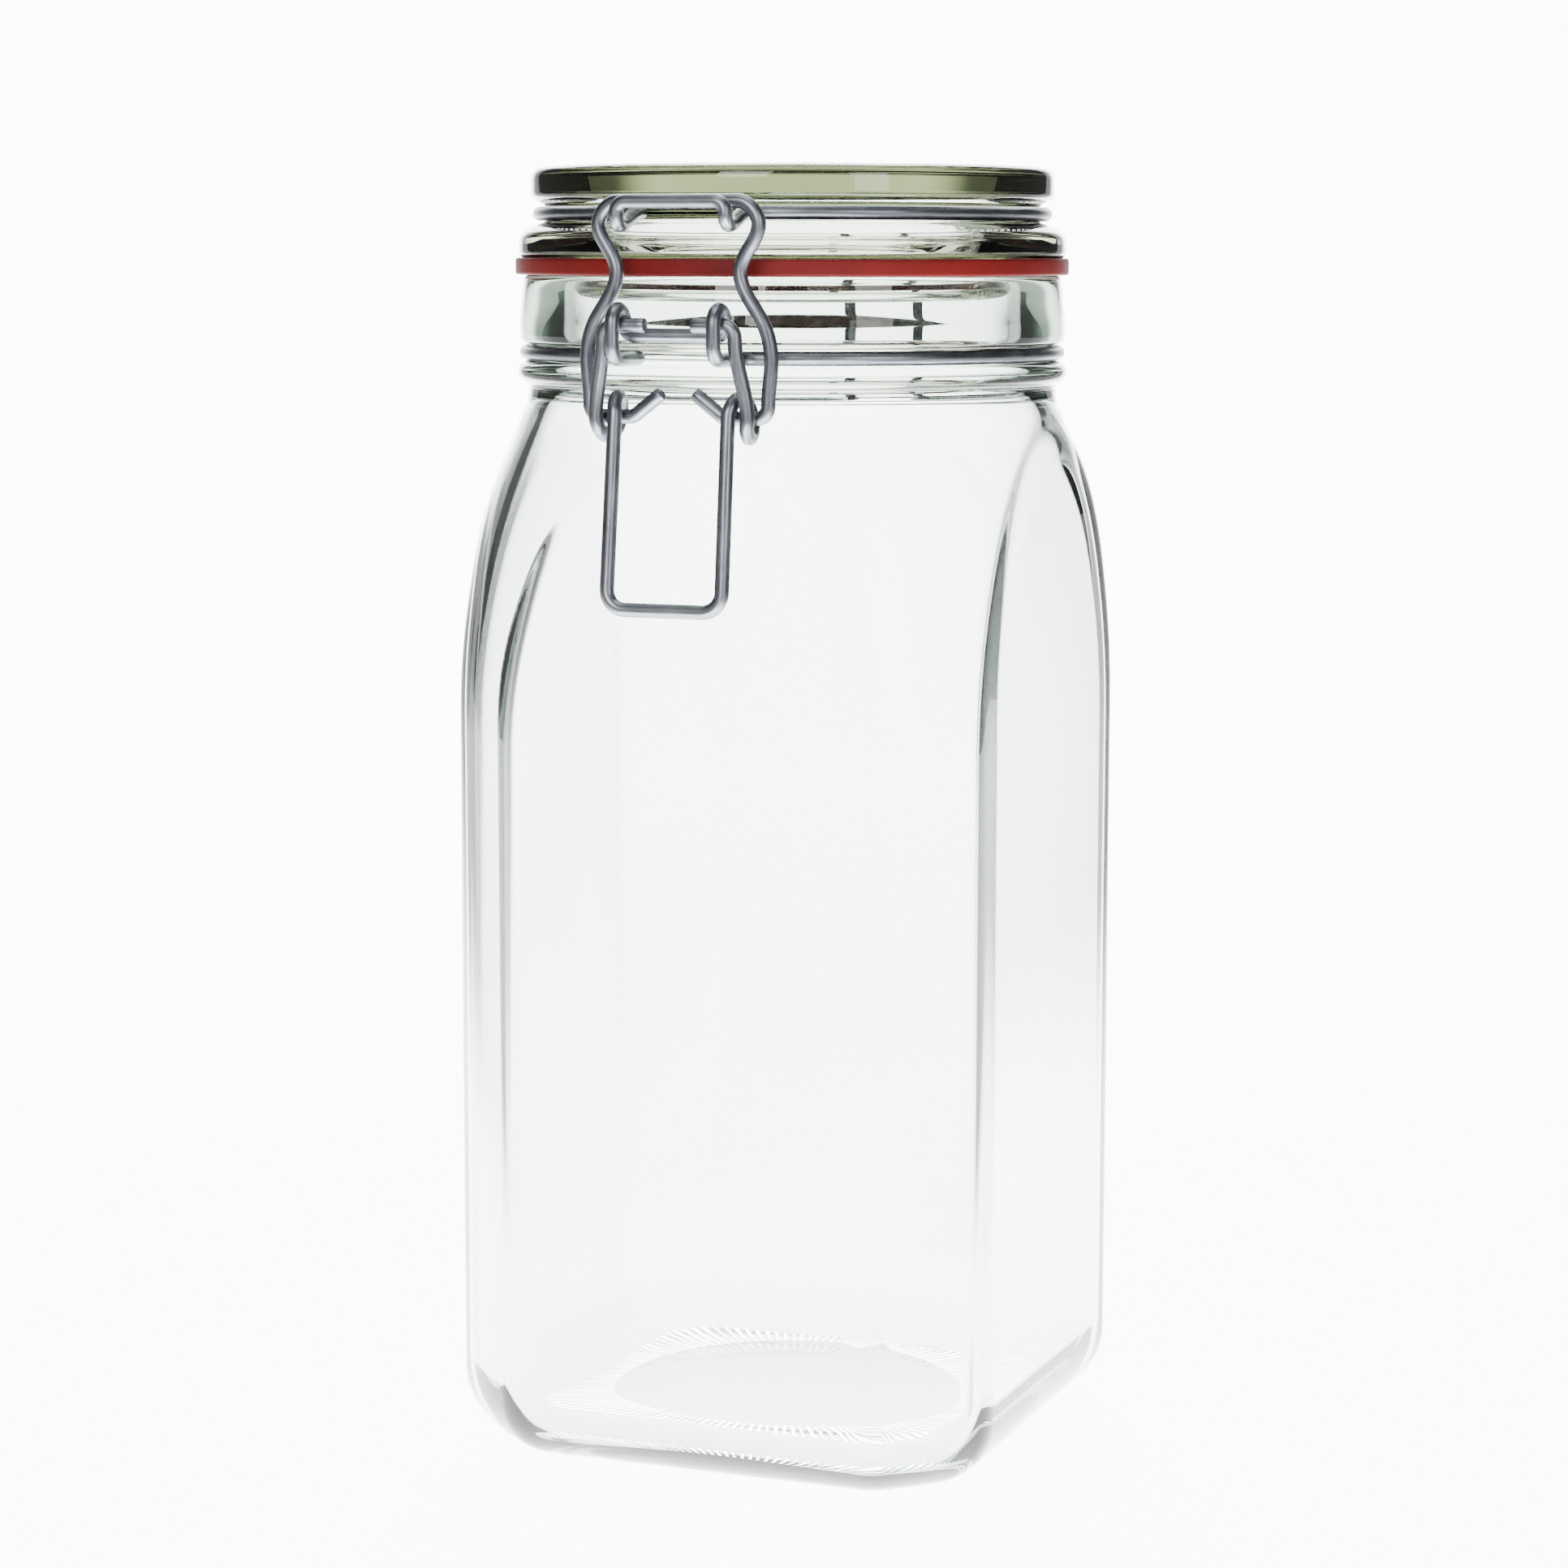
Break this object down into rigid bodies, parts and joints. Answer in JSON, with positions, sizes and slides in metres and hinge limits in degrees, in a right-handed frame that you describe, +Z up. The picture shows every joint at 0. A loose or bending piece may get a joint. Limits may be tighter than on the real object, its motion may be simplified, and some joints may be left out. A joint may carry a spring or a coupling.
{
  "type": "bail clamp jar",
  "caption": "Square glass storage jar with a round neck, glass lid, red rubber gasket and a wire bail clamp with a rear wire hinge.",
  "frame": {"origin": "bottom centre of the closed jar, on the plane it stands on and on the jar's upright axis to within 1 mm", "axes": "+Z up through the mouth; -Y towards the clamp, +Y towards the hinge; +X to the right when facing the clamp"},
  "size_m": [0.098, 0.1204, 0.2234],
  "materials": {
    "jar_glass": "clear pressed soda glass with a faint green cast in its thick edges",
    "lid_glass": "clear pressed soda glass, ribbed round the top edge",
    "gasket": "matte red rubber",
    "wire": "satin drawn zinc-plated wire with fine lines along its length"
  },
  "bodies": {
    "jar": {"jar_glass": "jar_glass", "neck_ring": "wire"},
    "lid": {"lid_glass": "lid_glass", "gasket": "gasket", "lid_ring": "wire"},
    "lever": {"lever": "wire"},
    "bail": {"bail": "wire"}
  },
  "joints": [
    {"name": "lid_hinge", "type": "hinge", "parent": "jar", "child": "lid", "pos_m": [0, 0.0574, 0.2045], "axis": [-1, 0, 0], "range_deg": [0, 120]},
    {"name": "lever_pivot", "type": "hinge", "parent": "jar", "child": "lever", "pos_m": [0, -0.0554, 0.1969], "axis": [-1, 0, 0], "range_deg": [0, 80]},
    {"name": "bail_pivot", "type": "hinge", "parent": "lever", "child": "bail", "pos_m": [0, -0.0512, 0.1819], "axis": [-1, 0, 0], "range_deg": [-45.7, 0]}
  ],
  "couplings": [
    {"joint": "bail_pivot", "follows": "lever_pivot", "ratio": -0.57}
  ]
}
